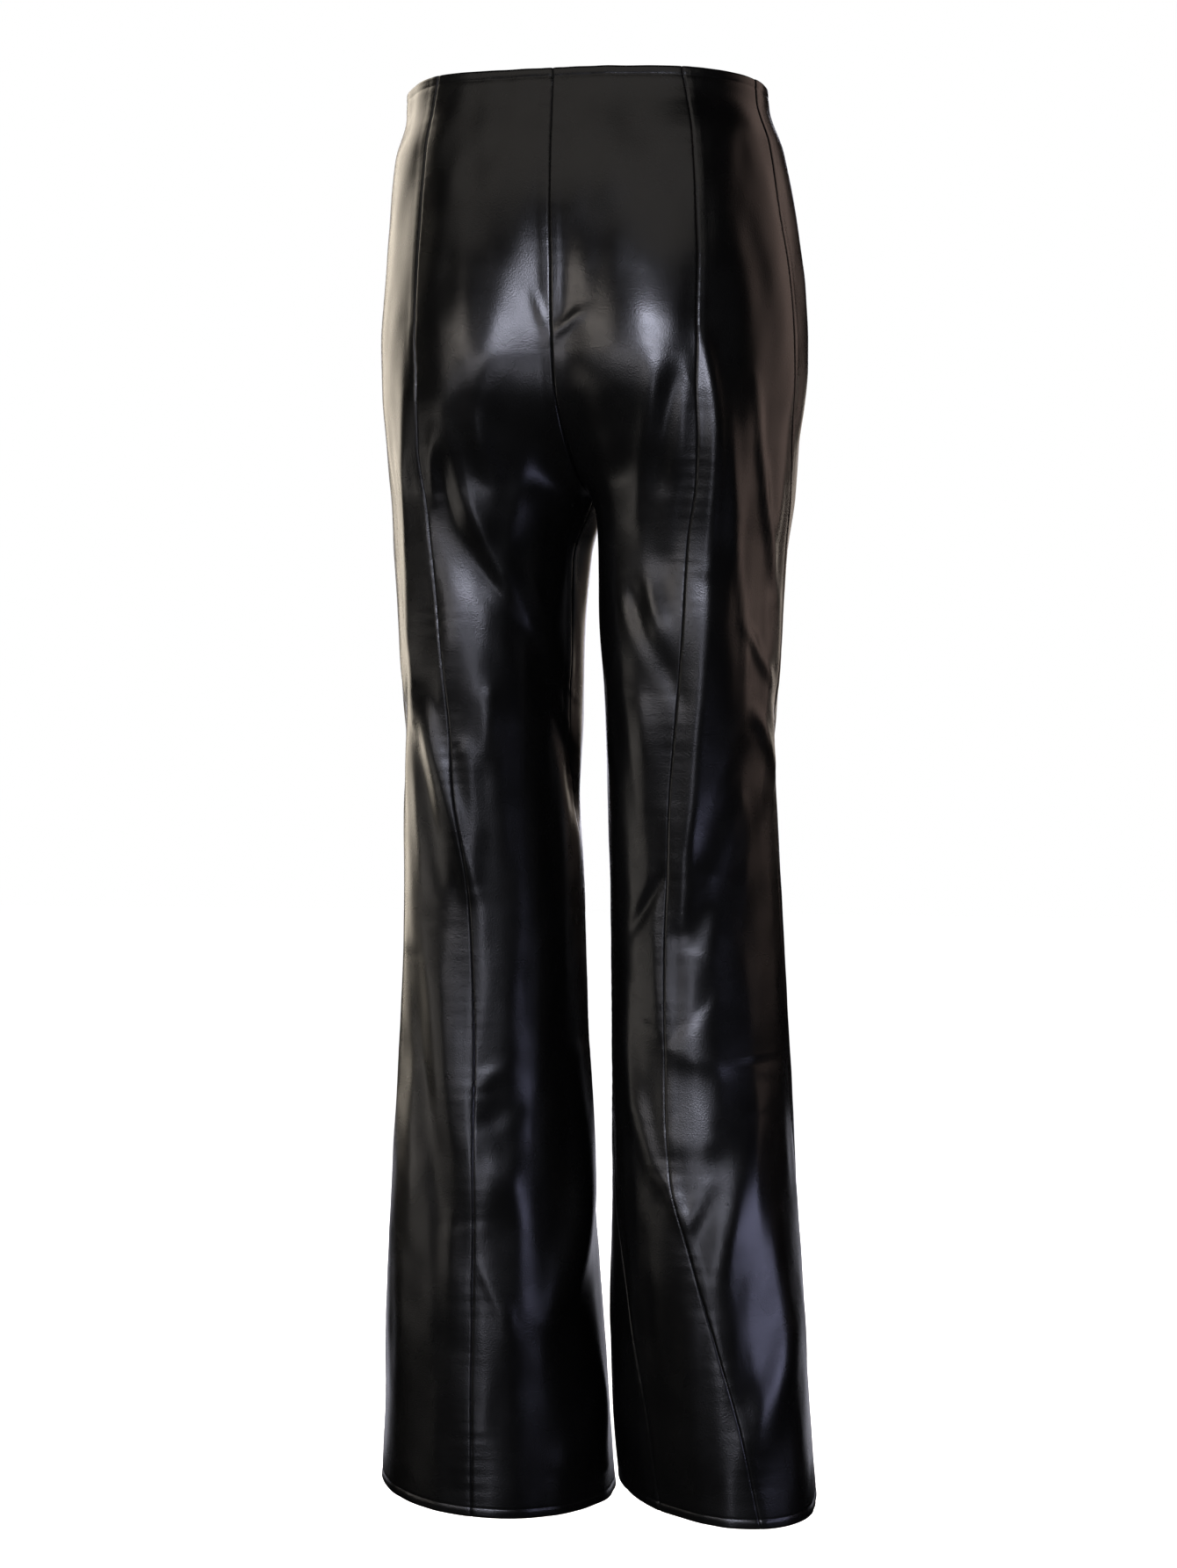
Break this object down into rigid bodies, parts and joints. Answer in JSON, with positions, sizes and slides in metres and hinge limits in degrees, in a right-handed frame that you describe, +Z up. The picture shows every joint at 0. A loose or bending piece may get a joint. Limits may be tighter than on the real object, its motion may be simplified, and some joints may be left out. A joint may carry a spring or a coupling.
{
  "type": "faux leather wide-leg trousers",
  "caption": "Black faux leather wide-leg trousers, high waist with a turned edge, princess seams down the back, filled out as worn with open waist and hems",
  "frame": {"origin": "the middle of the waist opening, level with the waist edge", "axes": "+Z up along the wearer, -Y to the wearer's front, +X to the wearer's left"},
  "size_m": [0.3365, 0.2484, 1.0459],
  "materials": {
    "black_faux_leather": "glossy black coated cloth with a fine grain"
  },
  "bodies": {
    "root": {"back_centre_left": "black_faux_leather", "back_centre_right": "black_faux_leather", "back_side_left": "black_faux_leather", "back_side_right": "black_faux_leather", "front_left": "black_faux_leather", "front_right": "black_faux_leather"}
  },
  "joints": []
}
